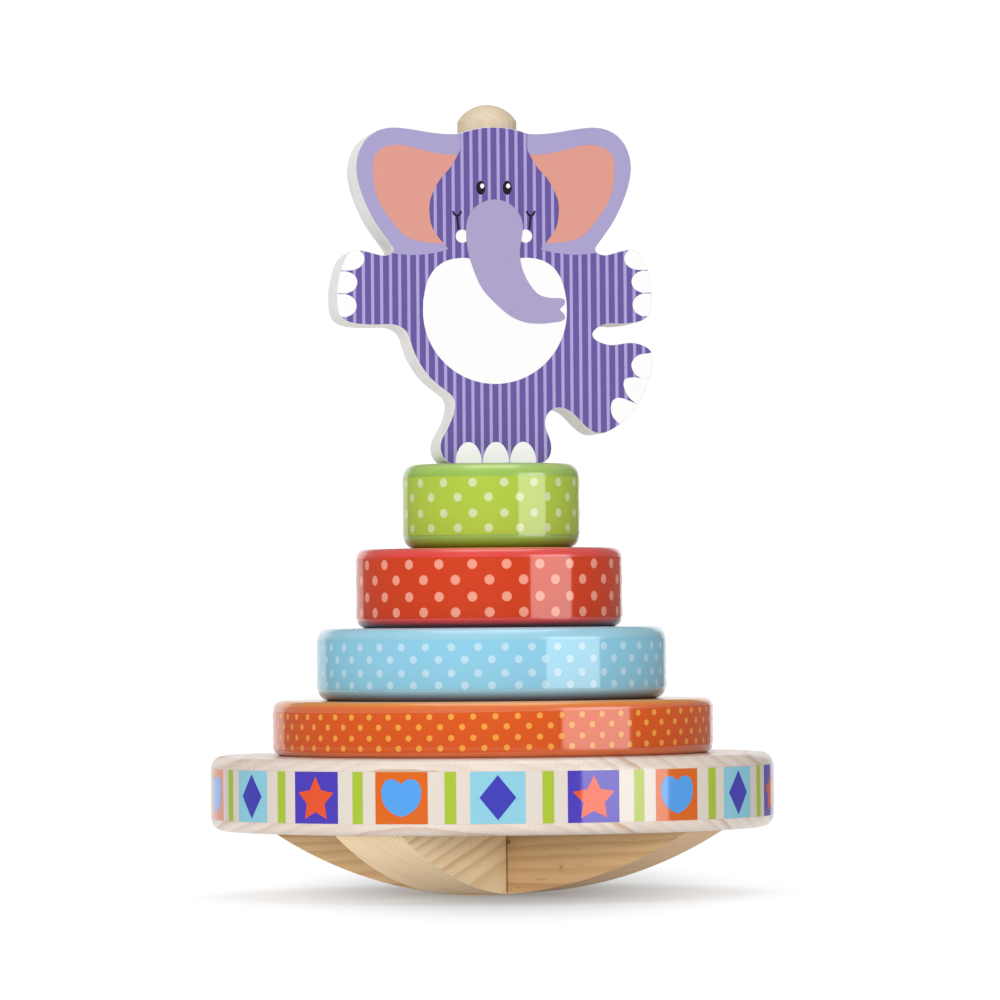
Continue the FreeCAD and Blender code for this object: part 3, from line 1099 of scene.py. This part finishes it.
@dataclass
class PictureDisc(Round):
    """The pine disc with its band of pictures.

    Attributes:
        pine: the disc's wood.
        ground: the film between the pictures.
        start: angle of one diamond.
        step: angle between pictures.
        count: how many pictures there are.
        tile: width of a picture's square.
        bar: width of the bar between two pictures.
        bar_shift: angle by which the bars stand off the middle between two pictures.
        margin: bare film above and below the squares and bars.
        strip: the widest strip that stays flat on the wall.
        diamond: a diamond's width and height.
        star: radius of a star's points and of its notches.
        heart: a heart's width and height.
    """

    pine: Wood
    ground: Film
    start: float = 1.1
    step: float = 19.3
    count: int = 19
    tile: float = 18.0
    bar: float = 3.8
    bar_shift: float = 0.3
    margin: float = 0.05
    strip: float = 2.4
    diamond: Tuple[float, float] = (12.0, 14.7)
    star: Tuple[float, float] = (7.7, 3.95)
    heart: Tuple[float, float] = (13.7, 12.2)

    def picture(self, motif: Motif) -> Outline:
        """Draw one picture.

        Args:
            motif: which picture it is.

        Returns:
            Its outline, centred on (0, 0).
        """
        if motif is Motif.DIAMOND:
            wide, high = self.diamond
            return [(0, -high / 2), (wide / 2, 0), (0, high / 2), (-wide / 2, 0)]
        if motif is Motif.STAR:
            return star(*self.star)
        return heart(*self.heart)

    def print_all(
        self, name: str, outline: Outline, turns: Sequence[float], ink: Film, level: int
    ) -> None:
        """Print one shape at each of several angles.

        Args:
            name: the piece's name.
            outline: the shape, centred on (0, 0).
            turns: where it goes round the wall.
            ink: its colour.
            level: how many layers of ink lie under it, itself included.
        """
        flat = bmesh.new()
        add_plate(flat, [(x, z + self.centre) for x, z in outline], -INK, level * INK)
        wide = max(x for x, _ in outline)
        cut_upright(flat, -wide, wide, self.strip)
        mesh = bmesh.new()
        for turn in turns:
            bent = flat.copy()
            self.wrap(bent, turn)
            merge_into(mesh, bent)
        flat.free()
        finish_piece(name, mesh, ink.material(f"{name}_ink"), self.body)

    def build(self) -> None:
        """Dress the disc and print its pictures, squares and bars."""
        dress_node(self.node, self.pine.material("disc_pine"))
        dress_node("base_band", self.ground.material("base_film"))
        low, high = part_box("base_band")
        half = (high.z - low.z) / 2 / MM - self.margin
        inks = {
            Motif.DIAMOND: (Film(PALETTE.diamond_square), Film(PALETTE.diamond)),
            Motif.STAR: (Film(PALETTE.star_square), Film(PALETTE.star)),
            Motif.HEART: (Film(PALETTE.heart_square), Film(PALETTE.heart)),
        }
        spots = range(-(self.count // 2), self.count - self.count // 2)
        square = rectangle(-self.tile / 2, -half, self.tile / 2, half)
        for motif, (square_ink, picture_ink) in inks.items():
            turns = [self.start + self.step * i for i in spots if i % len(Motif) == motif.value]
            word = motif.name.lower()
            self.print_all(f"base_{word}_squares", square, turns, square_ink, 1)
            self.print_all(f"base_{word}s", self.picture(motif), turns, picture_ink, 2)
        gaps = [self.start + self.step * (i + 0.5) + self.bar_shift for i in spots[:-1]]
        bar = rectangle(-self.bar / 2, -half, self.bar / 2, half)
        self.print_all("base_bars", bar, gaps, Film(PALETTE.bar), 1)


@dataclass
class Rocker:
    """The crossed boards, their dowels and the glue lines where they meet.

    Attributes:
        long_board: wood of the long board.
        cross_board: wood of the cross board.
        dowel: wood of the dowels.
        turn: the long board's angle, in degrees.
        board: thickness of a board.
        glue: the glue that shows.
        glue_width: width of a glue line.
        glue_low: level of its lower end.
        glue_high: level of its upper end.
    """

    long_board: Wood
    cross_board: Wood
    dowel: Wood
    turn: float = -30.0
    board: float = 25.4
    glue: Film = Film(PALETTE.glue, gloss=0.4)
    glue_width: float = 0.5
    glue_low: float = 1.1
    glue_high: float = 22.2

    def build_glue(self) -> None:
        """Draw the dark glue lines in the four corners where the boards cross."""
        mesh = bmesh.new()
        turn = Matrix.Rotation(math.radians(self.turn), 4, "Z")
        tall = self.glue_high - self.glue_low
        size = Matrix.Diagonal((self.glue_width, self.glue_width, tall, 1))
        half = self.board / 2
        for across in (-half, half):
            for along in (-half, half):
                middle = turn @ Vector((along, across, self.glue_low + tall / 2))
                bmesh.ops.create_cube(mesh, size=1, matrix=Matrix.Translation(middle) @ turn @ size)
        finish_piece(
            "rocker_glue_lines", mesh, self.glue.material("rocker_glue"), Body.BASE
        )

    def build(self) -> None:
        """Dress the rocker and add its glue lines."""
        dress_node("rocker_board_long", self.long_board.material("rocker_long_wood"))
        dress_node("rocker_board_cross", self.cross_board.material("rocker_cross_wood"))
        dowel = self.dowel.material("dowel_wood")
        for number in range(1, 5):
            dress_node(f"rocker_dowel_{number}", dowel)
        self.build_glue()


# The elephant's artwork, in millimetres: X to the right of the head's middle, Z above the sole.
HEAD_SIDE = [
    (-11.6, 113.0), (-11.4, 106.2), (-12.3, 103.7), (-14.8, 99.5), (-17.8, 96.2), (-20.3, 92.0),
    (-21.8, 87.8), (-21.8, 82.8), (-20.7, 78.6), (-17.3, 74.0), (-15.6, 72.2),
]
EAR_BOTTOM = [(-15.6, 72.2), (-17.3, 71.5), (-22.4, 70.5), (-28.3, 70.1), (-34.6, 70.7)]
EAR_OUTSIDE = [(-36.5, 72.5), (-60, 82), (-60, 118)]  # past the film's edge, which trims it
EAR_INSIDE = [
    (-17.3, 73.9), (-24.1, 74.5), (-30.0, 76.5), (-35.0, 82.0), (-38.4, 87.0), (-40.5, 92.8),
    (-40.9, 97.8), (-40.8, 102.0), (-39.2, 105.0), (-35.0, 106.9), (-30.0, 106.9),
    (-22.4, 105.0), (-16.5, 103.9), (-12.7, 103.9),
]
BELLY_SHOULDER = [
    (24.3, 54.5), (23.7, 58.1), (22.7, 61.5), (21.1, 64.4), (19.1, 66.5), (16.4, 68.1),
    (13.2, 68.9), (9.0, 69.0),
]
BELLY_NECK = (0, 67.2)
BELLY_ROUND = (0, 51.1, 24.4)  # X and Z of its middle, and radius
TRUNK_LEFT = [
    (-9.6, 77.6), (-9.4, 74.0), (-8.1, 67.8), (-4.7, 59.4), (0.3, 53.6), (5.4, 49.4),
    (10.5, 47.3), (15.5, 46.9), (19.1, 47.2), (22.4, 47.7), (23.7, 48.7), (23.4, 50.1),
    (21.9, 51.6),
]
TRUNK_RIGHT = [
    (23.5, 53.2), (23.8, 54.6), (22.4, 55.5), (18.9, 55.6), (14.7, 56.9), (11.3, 61.1), (9.2, 66.1),
    (8.6, 71.1), (9.3, 76.1),
]
TRUNK_DOME = (0.1, 79.1, 9.65)  # X and Z of its middle, and radius
EYES = [(-4.5, 92.7), (4.5, 92.7)]
GLINTS = [(-4.0, 93.3), (4.8, 93.3)]
TUSKS = [(-10.9, 76.4), (10.6, 76.4)]
MARK_CUP = [(-1.4, 84.9), (-0.9, 83.8), (0, 83.3), (0.9, 83.8), (1.4, 84.9)]
MARK_STEM = (83.3, 78.6)  # Z of its top and bottom
MARKS = ((-12.6, 0.5), (12.4, -0.5))  # X of each mark's stem, and how far the stem leans
FOOT_TOES = (-9.35, -0.05, 9.15)  # X of each toe's middle
HAND_TOES = (  # lowest and highest Z, and the X of the tip and of the root
    (64.95, 72.7, 44.1, 49.2), (57.25, 64.7, 46.5, 51.0), (49.3, 57.0, 46.8, 51.2),
)
RAISED_TOES = [
    [(60.0, 40.0), (53.2, 37.1), (48.6, 36.2), (46.2, 33.1), (47.9, 29.4), (52.1, 28.1),
     (60.0, 27.0)],
    [(60.0, 27.4), (52.1, 28.3), (47.1, 28.7), (44.2, 28.2), (43.5, 26.0), (45.0, 22.4),
     (48.3, 19.5), (56.0, 14.0)],
    [(56.0, 15.0), (47.9, 19.7), (42.4, 21.8), (39.8, 20.9), (39.1, 18.0), (39.9, 15.2),
     (42.0, 13.0), (46.0, 7.0)],
]


@dataclass(frozen=True)
class Layer:
    """One printed layer of the artwork.

    Attributes:
        name: the word that ends its pieces' names.
        ink: its colour.
        level: how many layers of ink lie under it, itself included.
        groups: its shapes, in groups whose shapes don't touch each other.
    """

    name: str
    ink: Rgb
    level: int
    groups: List[List[Outline]]


@dataclass
class Elephant:
    """The elephant's white block and the artwork on both its sides.

    Attributes:
        paint: the block's paint.
        turn: the elephant's angle about the post, in degrees.
        middle: X of its own middle line.
        reach: distance from the block's middle plane to the film's shown face.
        thickness: thickness of the film.
        overlap: how far the film laps over the block's rounded rim.
        room: how far a print may stand in front of the film's face, or behind it.
        stripe_pitch: distance between the light stripes.
        stripe_width: width of a light stripe.
        stripe_start: X of the middle of one stripe.
        half_width: half the width that the stripes cover.
        below: Z where the stripes and the feet's toes start, past the film's edge.
        above: Z where the stripes end.
        hand: X where the hands' toes start, past the film's edge.
        foot_toe: half the width, and the height, of a foot's toe.
        eye: half the width and half the height of an eye.
        glint: half the width and half the height of the light in an eye.
        tusk: radius of a tusk.
        mark: width of the lines beside the mouth.
        level: level of the soles.
    """

    paint: Paint
    turn: float = 7.5
    middle: float = 0.45
    reach: float = 13.7
    thickness: float = 0.2
    overlap: float = 0.3
    room: float = 2.0
    stripe_pitch: float = 3.06
    stripe_width: float = 1.05
    stripe_start: float = -1.6
    half_width: float = 56.0
    below: float = -2.0
    above: float = 116.0
    hand: float = 62.0
    foot_toe: Tuple[float, float] = (4.45, 7.2)
    eye: Tuple[float, float] = (1.5, 2.35)
    glint: Tuple[float, float] = (0.7, 0.8)
    tusk: float = 2.2
    mark: float = 0.75
    level: float = field(init=False)

    def __post_init__(self) -> None:
        """Read the soles' level from the CAD node."""
        self.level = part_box("elephant_block")[0].z / MM

    def place(self) -> Matrix:
        """From the elephant's own frame to the toy's, in millimetres."""
        return Matrix.Translation((self.middle, 0, self.level)) @ Matrix.Rotation(
            math.radians(self.turn), 4, "Z"
        )

    def sheet(self, side: Side, whole: bool) -> bmesh.types.BMesh:
        """The film's outline as a closed sheet in the elephant's own frame.

        Args:
            side: the side of the elephant.
            whole: whether its flat sides become one face each.

        Returns:
            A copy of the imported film, lapped over the block's rounded rim.
        """
        mesh = copy_of_node(f"elephant_{side.name.lower()}_print")
        bmesh.ops.transform(mesh, matrix=self.place().inverted(), verts=mesh.verts[:])
        mesh.normal_update()
        moves: Dict[bmesh.types.BMVert, Vector] = {}
        for face in mesh.faces:
            if abs(face.normal.y) < 0.5:
                for vertex in face.verts:
                    moves[vertex] = moves.get(vertex, Vector()) + face.normal
        for vertex, push in moves.items():
            push.y = 0
            vertex.co += push.normalized() * self.overlap
        mesh.normal_update()
        if whole:
            bmesh.ops.dissolve_limit(
                mesh, angle_limit=math.radians(1), verts=mesh.verts[:], edges=mesh.edges[:]
            )
        return mesh

    def keeper(self, side: Side) -> bpy.types.Object:
        """Make the room that a print may fill: the film's outline, much thicker.

        Args:
            side: the side of the elephant.

        Returns:
            A scratch object.
        """
        mesh = self.sheet(side, False)
        for vertex in mesh.verts:
            shown = vertex.co.y * side.value > self.reach - self.thickness / 2
            vertex.co.y = side.value * (self.reach + (self.room if shown else -self.room))
        return scratch_object("keeper", mesh)

    def stripes(self) -> List[Outline]:
        """Draw the light stripes, from edge to edge of the artwork.

        Returns:
            One outline for each stripe.
        """
        half = self.stripe_width / 2
        first = math.ceil((-self.half_width - self.stripe_start) / self.stripe_pitch)
        last = math.floor((self.half_width - self.stripe_start) / self.stripe_pitch)
        middles = [self.stripe_start + self.stripe_pitch * k for k in range(first, last + 1)]
        return [rectangle(x - half, self.below, x + half, self.above) for x in middles]

    def ear(self) -> Outline:
        """The left ear, which runs past the film's outline."""
        return smooth(HEAD_SIDE, 8) + smooth(EAR_BOTTOM, 8)[1:] + EAR_OUTSIDE

    def inner_ear(self) -> Outline:
        """The left ear's inside."""
        return smooth(HEAD_SIDE[2:-1], 8)[:-1] + smooth(EAR_INSIDE, 8)

    def belly(self) -> Outline:
        """The white belly."""
        top = BELLY_SHOULDER + [BELLY_NECK] + flipped(BELLY_SHOULDER)[::-1]
        return arc(*BELLY_ROUND, -180, 0, 40) + smooth(top)

    def trunk(self) -> Outline:
        """The trunk, from its round top to its cleft tip."""
        dome = arc(*TRUNK_DOME, -2, 182, 24)
        return smooth(TRUNK_LEFT, 8) + smooth(TRUNK_RIGHT, 8) + dome

    def toes(self) -> List[Outline]:
        """Draw the white toes of the feet, the hands and the raised foot.

        Returns:
            One outline for each toe.
        """
        shapes = []
        wide, tall = self.foot_toe
        for x in FOOT_TOES:
            nail = [(x + wide * a, tall * b) for a, b in arc(0, 0, 1, 180, 0)]
            shapes.append([(x - wide, self.below)] + nail + [(x + wide, self.below)])
        for low, high, tip, root in HAND_TOES:
            middle, half = (low + high) / 2, (high - low) / 2
            nail = [(root + (root - tip) * x, middle + half * y) for x, y in arc(0, 0, 1, 90, 270)]
            right = nail + [(self.hand, low), (self.hand, high)]
            shapes += [right, flipped(right)]
        return shapes + [smooth(points) for points in RAISED_TOES]

    def cheeks(self) -> List[Outline]:
        """Draw the small forked marks beside the mouth.

        Returns:
            One outline for each stroke.
        """
        shapes = []
        high, low = MARK_STEM
        for x, lean in MARKS:
            cup = [(x + across, z) for across, z in MARK_CUP]
            shapes.append(stroke(smooth(cup, 3), self.mark))
            shapes.append(stroke([(x, high), (x + lean, low)], self.mark))
        return shapes

    def artwork(self) -> List[Layer]:
        """Draw everything that is printed on the film.

        Returns:
            The layers, from the lowest to the highest.
        """
        ear, inside = self.ear(), self.inner_ear()
        eyes = [ellipse(x, z, *self.eye) for x, z in EYES]
        glints = [ellipse(x, z, *self.glint, 16) for x, z in GLINTS]
        tusks = [ellipse(x, z, self.tusk, self.tusk) for x, z in TUSKS]
        return [
            Layer("stripes", PALETTE.stripe, 1, [self.stripes()]),
            Layer("ears", PALETTE.ear, 2, [[ear, flipped(ear)]]),
            Layer("belly", PALETTE.white, 2, [[self.belly()]]),
            Layer("toes", PALETTE.white, 2, [[toe] for toe in self.toes()]),
            Layer("eyes", PALETTE.black, 2, [eyes]),
            Layer("cheek_marks", PALETTE.cheek, 2, [[mark] for mark in self.cheeks()]),
            Layer("inner_ears", PALETTE.inner_ear, 3, [[inside, flipped(inside)]]),
            Layer("glints", PALETTE.white, 3, [glints]),
            Layer("tusks", PALETTE.white, 3, [tusks]),
            Layer("trunk", PALETTE.trunk, 4, [[self.trunk()]]),
        ]

    def print_layer(
        self, side: Side, layer: Layer, ink: bpy.types.Material, keeper: bpy.types.Object
    ) -> None:
        """Print one layer on one side.

        Args:
            side: the side of the elephant.
            layer: what is printed.
            ink: its material.
            keeper: the room that the print may fill.
        """
        mesh = bmesh.new()
        hidden = side.value * (self.reach - INK)
        shown = side.value * (self.reach + layer.level * INK)
        for group in layer.groups:
            plates = bmesh.new()
            for shape in group:
                add_plate(plates, shape, hidden, shown)
            merge_into(mesh, trimmed(plates, keeper))
        finish_piece(
            f"elephant_{side.name.lower()}_{layer.name}", mesh, ink, Body.ELEPHANT,
            self.place(), rounded=False,
        )

    def build(self) -> None:
        """Dress the block and print both sides."""
        paint = self.paint.material(
            "elephant_white_paint", self.level, self.level + self.above
        )
        dress_node("elephant_block", paint)
        ground = Film(PALETTE.purple).material("elephant_purple_ink")
        layers = self.artwork()
        inks = [Film(layer.ink).material(f"elephant_{layer.name}_ink") for layer in layers]
        for side in Side:
            word = side.name.lower()
            node = f"elephant_{word}_print"
            dress_node(node, ground)
            film = finish_piece(
                f"elephant_{word}_film", self.sheet(side, True), ground, Body.ELEPHANT,
                self.place(), rounded=False,
            )
            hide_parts(node)
            keeper = self.keeper(side)
            for layer, ink in zip(layers, inks):
                self.print_layer(side, layer, ink, keeper)
            discard(keeper)


# ---- the studio


@dataclass(frozen=True)
class Softbox:
    """A soft rectangular light that faces the toy. Its lengths are in metres.

    Attributes:
        name: the light's name.
        turn: its angle round the post, in degrees.
        far: its distance from the post.
        middle: the height of its middle.
        wide: its width.
        tall: its height.
        glow: its brightness beside the background's.
        shine: whether it lights surfaces, shows as a reflection, or both.
        target: the height on the post that it faces.
    """

    name: str
    turn: float
    far: float
    middle: float
    wide: float
    tall: float
    glow: float
    shine: Shine
    target: float = 0.13

    def build(self) -> None:
        """Hang the light."""
        data = bpy.data.lights.new(self.name, "AREA")
        data.shape = "RECTANGLE"
        data.size = self.wide
        data.size_y = self.tall
        data.energy = self.glow * math.pi * self.wide * self.tall
        light = bpy.data.objects.new(self.name, data)
        bpy.context.scene.collection.objects.link(light)
        angle = math.radians(self.turn)
        spot = Vector((self.far * math.sin(angle), -self.far * math.cos(angle), self.middle))
        aim = (Vector((0, 0, self.target)) - spot).to_track_quat("-Z", "Y")
        light.matrix_world = Matrix.Translation(spot) @ aim.to_matrix().to_4x4()
        light.visible_camera = False
        light.visible_diffuse, light.visible_glossy = self.shine.value


@dataclass
class Studio:
    """The floor, the lights and the camera.

    Attributes:
        lights: the softboxes.
        distance: from the post's axis to the camera, in metres.
        height: the camera's height.
        lens: focal length as a multiple of the sensor's width.
        sensor: the sensor's width, in millimetres.
        pan: camera's turn to the right, in degrees.
        tilt: camera's turn upwards.
        roll: camera's turn clockwise.
        room: brightness of the even light.
        sheen: brightness of the room in reflections.
        white: brightness of the background behind the toy.
        floor_radius: the floor's radius, in metres.
        floor_grey: how pale the floor is.
        floor_glow: brightness of the light that the floor gives off, dimmed under the toy as a
            painted shadow.
        shade_middle: middle of the shadow painted into the floor's glow, where the floor is
            darkest, in millimetres.
        shade_reach: how far that painted shadow reaches to the sides and to the back.
        shade_edge: where it starts and stops thinning out, as shares of its reach.
        fade: where the floor starts and stops fading into the background, in millimetres.
    """

    lights: Tuple[Softbox, ...]
    distance: float = 2.45
    height: float = 0.0941
    lens: float = 7.25
    sensor: float = 36.0
    pan: float = 0.080
    tilt: float = 0.909
    roll: float = 0.47
    room: float = 0.46
    sheen: float = 0.25
    white: float = 1.1
    floor_radius: float = 1.3
    floor_grey: float = 0.3
    floor_glow: float = 0.68
    shade_middle: Tuple[float, float] = (4.0, 55.0)
    shade_reach: Tuple[float, float] = (76.0, 265.0)
    shade_edge: Tuple[float, float] = (0.1, 1.2)
    fade: Tuple[float, float] = (450.0, 1100.0)

    def camera(self) -> None:
        """Set the camera at the viewing angle."""
        data = bpy.data.cameras.new("camera")
        data.sensor_width = self.sensor
        data.lens = self.sensor * self.lens
        data.clip_end = 100
        camera = bpy.data.objects.new("camera", data)
        bpy.context.scene.collection.objects.link(camera)
        camera.matrix_world = (
            Matrix.Translation((0, -self.distance, self.height))
            @ Matrix.Rotation(math.radians(-self.pan), 4, "Z")
            @ Matrix.Rotation(math.radians(90 + self.tilt), 4, "X")
            @ Matrix.Rotation(math.radians(-self.roll), 4, "Z")
        )
        bpy.context.scene.camera = camera

    def floor(self) -> None:
        """Lay the pale, glowing floor, with a painted shadow under the toy, fading out far from the
        toy.
        """
        mesh = bmesh.new()
        bmesh.ops.create_circle(mesh, cap_ends=True, segments=96, radius=self.floor_radius)
        data = bpy.data.meshes.new("floor")
        mesh.to_mesh(data)
        mesh.free()
        recipe = Recipe("studio_floor")
        away = recipe.distance(recipe.place())
        # Painted shadow: the floor's glow is dimmer in an oval round the toy.
        across, back = self.shade_reach
        shade = recipe.stretch(
            recipe.place(origin=(*self.shade_middle, 0.0)), (1 / across, 1 / back, 0)
        )
        clear = recipe.between(recipe.distance(shade), *self.shade_edge)
        grey = (self.floor_grey,) * 3 + (1.0,)
        data.materials.append(recipe.done(
            Base_Color=grey, Roughness=0.9, Specular_IOR_Level=0.1,
            Emission_Color=recipe.mix(clear, grey, (1, 1, 1, 1)),
            Emission_Strength=self.floor_glow, Alpha=1 - recipe.between(away, *self.fade),
        ))
        floor = bpy.data.objects.new("floor", data)
        bpy.context.scene.collection.objects.link(floor)

    def backdrop(self) -> None:
        """Fill the room with even pale light, and show it white behind the toy."""
        world = bpy.data.worlds.new("studio")
        bpy.context.scene.world = world
        world.use_nodes = True
        nodes, links = world.node_tree.nodes, world.node_tree.links
        background = nodes["Background"]
        background.inputs["Color"].default_value = (1, 1, 1, 1)
        path = nodes.new("ShaderNodeLightPath")
        level = nodes.new("ShaderNodeMapRange")
        level.inputs["To Max"].default_value = self.white
        links.new(path.outputs["Is Camera Ray"], level.inputs["Value"])
        sheen = nodes.new("ShaderNodeMapRange")
        sheen.inputs["To Min"].default_value = self.room
        sheen.inputs["To Max"].default_value = self.sheen
        links.new(path.outputs["Is Glossy Ray"], sheen.inputs["Value"])
        links.new(sheen.outputs["Result"], level.inputs["To Min"])
        links.new(level.outputs["Result"], background.inputs["Strength"])

    def build(self) -> None:
        """Set up the whole studio."""
        bpy.context.scene.view_settings.view_transform = "Standard"
        self.backdrop()
        for light in self.lights:
            light.build()
        self.floor()
        self.camera()


def main() -> None:
    """Build and dress the toy, then set up the studio."""
    logging.basicConfig(level=logging.INFO, format="%(name)s: %(message)s")
    # The boards' wood is made lighter by lit=SHADE_GAIN: painted light that makes up for the shade
    # under the disc.
    Rocker(
        long_board=Wood(
            PALETTE.long_pale, PALETTE.long_dark, pith=(35, 60.6, -17), turn=(0, -3, -30),
            spacing=1.3, line=0.8, lit=SHADE_GAIN,
            knots=(Knot((5.4, -17.8, 18.0), 0.9), Knot((22.8, -27.8, 9.8), 0.45)),
        ),
        cross_board=Wood(
            PALETTE.cross_pale, PALETTE.cross_dark, pith=(-60.6, 35, -4), turn=(0, 17, -120),
            spacing=1.6, line=0.9, lit=SHADE_GAIN, sway=1.0,
        ),
        dowel=Wood(
            PALETTE.cross_pale, PALETTE.cross_dark, pith=ZERO, turn=(0, 90, 0), spacing=2.0,
        ),
    ).build()
    PictureDisc(
        Body.BASE, "base_disc", "base", edge=3.9,
        pine=Wood(
            PALETTE.disc_pale, PALETTE.disc_dark, pith=(-24, 0, -86), turn=(0, 0, 90),
            spacing=3.4, line=0.8, gloss=0.42, coat=0.5, even=0.15, sway=2.2,
        ),
        ground=Film(PALETTE.disc_film),
    ).build()
    post = Wood(
        PALETTE.post_pale, PALETTE.post_dark, pith=(6, 9, 0), turn=(0, 90, 0), spacing=1.6,
        line=0.4, gloss=0.55,
    )
    dress_node("centre_post", post.material("post_wood"))
    SlantedRing(
        Body.ORANGE, "orange_ring", "orange", edge=2.7,
        paint=Paint(
            PALETTE.body_orange, PALETTE.crown_highlight_orange, PALETTE.foot_shading_orange, reach=2.4,
        ),
        film=Film(PALETTE.film_orange), spot=Film(PALETTE.spot_orange),
        pitch=5.65, count=63, start=-4.99, rows=(5.15, 1.8, -1.8, -5.15), spot_size=2.05,
        lean=(0.0088, 0.0094),
    ).build()
    Ring(
        Body.BLUE, "blue_ring", "blue", edge=4.0,
        paint=Paint(
            PALETTE.body_blue, PALETTE.crown_highlight_blue, PALETTE.foot_shading_blue, reach=4.0,
        ),
        film=Film(PALETTE.film_blue), spot=Film(PALETTE.spot_blue),
        pitch=8.69, count=41, start=4.42, rows=(5.75, 1.65, -2.85, -6.85), spot_size=2.7,
    ).build()
    Ring(
        Body.RED, "red_ring", "red", edge=3.1,
        paint=Paint(
            PALETTE.body_red, PALETTE.crown_highlight_red, PALETTE.foot_shading_red, reach=3.0, speck=0.45,
        ),
        film=Film(PALETTE.film_red), spot=Film(PALETTE.spot_red),
        pitch=14.6, count=25, start=7.5, rows=(7.8, 2.6, -3.0, -8.2), spot_size=3.35,
    ).build()
    Ring(
        Body.GREEN, "green_ring", "green", edge=4.2,
        paint=Paint(
            PALETTE.body_green, PALETTE.crown_highlight_green, PALETTE.foot_shading_green, reach=4.0, speck=0.4,
        ),
        film=Film(PALETTE.film_green), spot=Film(PALETTE.spot_green),
        pitch=20.3, count=18, start=8.5, rows=(7.65, 2.75, -2.6, -7.55), spot_size=3.0,
    ).build()
    Elephant(
        Paint(PALETTE.block, PALETTE.block, PALETTE.block, speck=0.15, coat=0.1),
    ).build()
    Studio(lights=(
        Softbox(
            "strip_light", turn=55.5, far=3.0, middle=0.35, wide=2.15, tall=1.5, glow=4.4,
            shine=Shine.REFLECTION,
        ),
        Softbox(
            "key_light", turn=-16, far=2.9, middle=1.5, wide=1.7, tall=1.4, glow=3.6,
            shine=Shine.LIGHT,
        ),
        Softbox(
            "low_light", turn=-14, far=2.9, middle=0.31, wide=2.6, tall=0.6, glow=10.0,
            shine=Shine.LIGHT,
        ),
        Softbox(
            "side_light", turn=60, far=2.9, middle=0.26, wide=1.2, tall=0.5, glow=6.0,
            shine=Shine.LIGHT,
        ),
        Softbox(
            "top_light", turn=0, far=0.02, middle=2.1, wide=1.6, tall=1.6, glow=2.1,
            shine=Shine.BOTH,
        ),
        Softbox(
            "back_light", turn=180, far=2.0, middle=1.9, wide=1.6, tall=1.0, glow=4.5,
            shine=Shine.LIGHT,
        ),
        Softbox(
            "rear_light", turn=-171, far=3.0, middle=0.4, wide=3.6, tall=1.6, glow=0.8,
            shine=Shine.REFLECTION,
        ),
    )).build()


if __name__ == "__main__":
    main()
